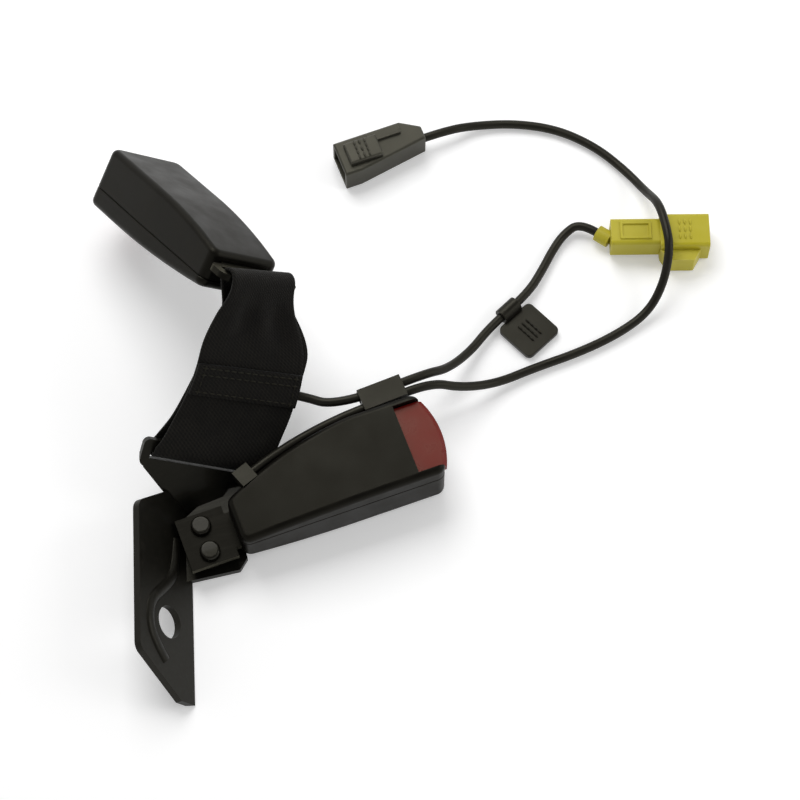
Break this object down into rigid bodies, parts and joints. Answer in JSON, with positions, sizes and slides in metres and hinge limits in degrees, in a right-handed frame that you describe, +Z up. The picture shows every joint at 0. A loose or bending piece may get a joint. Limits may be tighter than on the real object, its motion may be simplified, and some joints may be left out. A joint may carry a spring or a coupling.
{
  "type": "seat belt buckle",
  "caption": "Rear seat belt anchor with a rigid-stalk buckle, a webbing-strap buckle, a bolted bracket and sensing leads with connectors.",
  "frame": {"origin": "midway between the two stalk rivets, on the underside of the bracket's flange", "axes": "+Z up from the surface that the part lies on, +X towards the button end of the rigid-stalk buckle, +Y towards the strap buckle"},
  "size_m": [0.2691, 0.2222, 0.0742],
  "materials": {
    "housing_black": "fine spark-eroded black",
    "button_red": "smooth red",
    "mouth_black": "smooth black",
    "frame_steel": "zinc plated",
    "bracket_black": "black e-coat",
    "rivet_black": "black e-coat",
    "spring_steel": "bright wire",
    "webbing_black": "woven polyester",
    "lead_black": "soft sheath",
    "switch_grey": "plain",
    "connector_grey": "plain",
    "connector_yellow": "plain",
    "terminal_brass": "tin plated",
    "clip_black": "plain"
  },
  "bodies": {
    "base": {"anchor_bracket": "bracket_black", "stalk_rivets": "rivet_black", "stalk_spacers": "rivet_black", "lower_frame": "frame_steel", "lower_back_shell": "housing_black", "lower_front_shell": "housing_black", "lower_tongue_mouth": "mouth_black", "lower_latch_pin": "spring_steel", "lower_switch": "switch_grey", "lower_ejector_springs": "spring_steel", "lower_button_springs": "spring_steel", "edge_clip": "clip_black", "lead_grommet": "lead_black", "lower_lead": "lead_black", "bridge_lead": "lead_black", "grey_cord": "lead_black", "yellow_cord": "lead_black", "grey_connector_body": "connector_grey", "grey_connector_lock": "connector_grey", "grey_connector_terminals": "terminal_brass", "yellow_connector_body": "connector_yellow", "yellow_connector_lock": "connector_yellow", "yellow_connector_terminals": "terminal_brass", "harness_clip": "clip_black"},
    "strap": {"strap": "webbing_black"},
    "upper_buckle": {"upper_frame": "frame_steel", "upper_back_shell": "housing_black", "upper_front_shell": "housing_black", "upper_tongue_mouth": "mouth_black", "upper_latch_pin": "spring_steel", "upper_switch": "switch_grey", "upper_ejector_springs": "spring_steel", "upper_button_springs": "spring_steel"},
    "lower_button": {"lower_button": "button_red", "lower_lock_bar": "spring_steel"},
    "lower_ejector": {"lower_ejector": "switch_grey"},
    "lower_latch": {"lower_latch": "frame_steel"},
    "upper_button": {"upper_button": "button_red", "upper_lock_bar": "spring_steel"},
    "upper_ejector": {"upper_ejector": "switch_grey"},
    "upper_latch": {"upper_latch": "frame_steel"}
  },
  "joints": [
    {"name": "strap_swing", "type": "hinge", "parent": "base", "child": "strap", "pos_m": [0.01, 0.032, 0.016], "axis": [0.8749, -0.2554, -0.4115], "range_deg": [-10, 30]},
    {"name": "buckle_tilt", "type": "hinge", "parent": "strap", "child": "upper_buckle", "pos_m": [0.0441, 0.0768, 0.0607], "axis": [0.7393, -0.0411, -0.6721], "range_deg": [-20, 30]},
    {"name": "lower_button_press", "type": "slide", "parent": "base", "child": "lower_button", "axis": [-0.9976, -0.0698, 0], "range_m": [0, 0.006], "stiffness_N_per_m": 900, "springref_m": -0.003, "deforming": ["lower_button_springs"]},
    {"name": "lower_ejector_slide", "type": "slide", "parent": "base", "child": "lower_ejector", "axis": [-0.9976, -0.0698, 0], "range_m": [0, 0.01], "stiffness_N_per_m": 600, "springref_m": -0.004, "deforming": ["lower_ejector_springs"]},
    {"name": "lower_latch_drop", "type": "hinge", "parent": "base", "child": "lower_latch", "pos_m": [0.05039, 0.01054, 0.016], "axis": [-0.0698, 0.9976, 0], "range_deg": [0, 11.2]},
    {"name": "upper_button_press", "type": "slide", "parent": "upper_buckle", "child": "upper_button", "axis": [0.3331, -0.8452, 0.4181], "range_m": [0, 0.006], "stiffness_N_per_m": 900, "springref_m": -0.003, "deforming": ["upper_button_springs"]},
    {"name": "upper_ejector_slide", "type": "slide", "parent": "upper_buckle", "child": "upper_ejector", "axis": [0.3331, -0.8452, 0.4181], "range_m": [0, 0.01], "stiffness_N_per_m": 600, "springref_m": -0.004, "deforming": ["upper_ejector_springs"]},
    {"name": "upper_latch_drop", "type": "hinge", "parent": "upper_buckle", "child": "upper_latch", "pos_m": [0.02379, 0.11573, 0.03598], "axis": [0.7393, -0.0411, -0.6721], "range_deg": [0, 11.2]}
  ],
  "couplings": [
    {"joint": "lower_latch_drop", "follows": "lower_ejector_slide", "rad_per_m": 19.199},
    {"joint": "upper_latch_drop", "follows": "upper_ejector_slide", "rad_per_m": 19.199}
  ]
}
